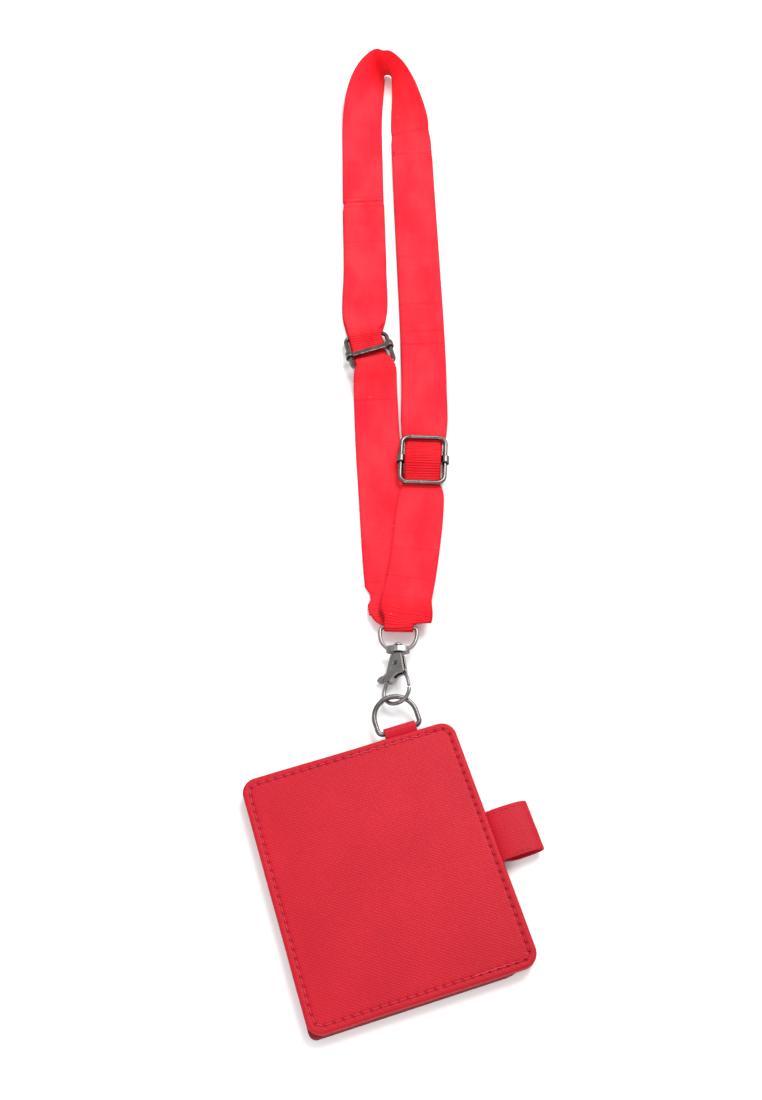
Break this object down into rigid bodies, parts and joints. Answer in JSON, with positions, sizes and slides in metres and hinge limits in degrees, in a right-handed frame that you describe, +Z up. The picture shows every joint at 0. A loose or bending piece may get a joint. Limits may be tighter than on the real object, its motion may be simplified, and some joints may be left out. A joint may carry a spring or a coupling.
{
  "type": "lanyard badge holder",
  "caption": "Padded card holder with a clear window and pen loop, hung by a D-ring and swivel snap clasp from a wide neck strap with two sliding adjusters.",
  "frame": {"origin": "middle of the holder's front face, which lies on the floor", "axes": "+Z up out of the holder's back, +Y towards the holder's top edge and the strap, +X towards the pen loop's side"},
  "size_m": [0.2235, 0.5703, 0.0253],
  "materials": {
    "leatherette": "crimson grained leatherette",
    "clear_sheet": "clear flexible sheet",
    "lining_cloth": "dark red lining with two card pockets",
    "foam": "soft padding",
    "board": "grey board",
    "thread": "crimson sewing thread",
    "webbing": "coral red ribbed webbing",
    "dark_nickel": "polished dark nickel plate",
    "spring_wire": "bright spring wire"
  },
  "bodies": {
    "lanyard": {"neck_webbing": "webbing", "lower_webbing": "webbing", "right_slide_bar": "dark_nickel", "left_slide_frame": "dark_nickel"},
    "right_slide": {"right_slide_frame": "dark_nickel"},
    "left_bar": {"left_slide_bar": "dark_nickel"},
    "swivel": {"swivel_loop": "dark_nickel"},
    "clasp": {"clasp_body": "dark_nickel", "swivel_rivet": "dark_nickel", "lever_pin": "dark_nickel", "lever_spring": "spring_wire"},
    "lever": {"clasp_lever": "dark_nickel"},
    "ring": {"holder_ring": "dark_nickel"},
    "holder": {"front_frame": "leatherette", "window_sheet": "clear_sheet", "pocket_lining": "lining_cloth", "foam_sheet": "foam", "stiffener_board": "board", "back_panel": "leatherette", "edge_thread": "thread", "ring_tab": "leatherette", "pen_loop": "leatherette", "loop_thread_top": "thread", "loop_thread_bottom": "thread"}
  },
  "joints": [
    {"name": "right_frame_travel", "type": "slide", "parent": "lanyard", "child": "right_slide", "axis": [0.3502, 0.9367, 0], "range_m": [-0.001, 0.001]},
    {"name": "left_bar_travel", "type": "slide", "parent": "lanyard", "child": "left_bar", "axis": [0.0937, 0.9736, -0.2079], "range_m": [-0.001, 0.002]},
    {"name": "loop_swing", "type": "hinge", "parent": "lanyard", "child": "swivel", "pos_m": [0.04346, 0.11522, 0.0065], "axis": [0.9426, -0.3338, 0], "range_deg": [-60, 60]},
    {"name": "clasp_swivel", "type": "hinge", "parent": "swivel", "child": "clasp", "pos_m": [0.04346, 0.11522, 0.0065], "axis": [0.3338, 0.9426, 0], "continuous": true},
    {"name": "lever_open", "type": "hinge", "parent": "clasp", "child": "lever", "pos_m": [0.03668, 0.09608, 0.0065], "axis": [-0.4713, 0.1669, 0.866], "range_deg": [-20, 0], "stiffness_Nm_per_rad": 0.02},
    {"name": "ring_swing", "type": "hinge", "parent": "clasp", "child": "ring", "pos_m": [0.03026, 0.08006, 0.0065], "axis": [0.9636, -0.2672, 0], "range_deg": [-20, 20]},
    {"name": "holder_hinge", "type": "hinge", "parent": "ring", "child": "holder", "pos_m": [0.0275, 0.0635, 0.005], "axis": [1, 0, 0], "range_deg": [-90, 90]}
  ]
}
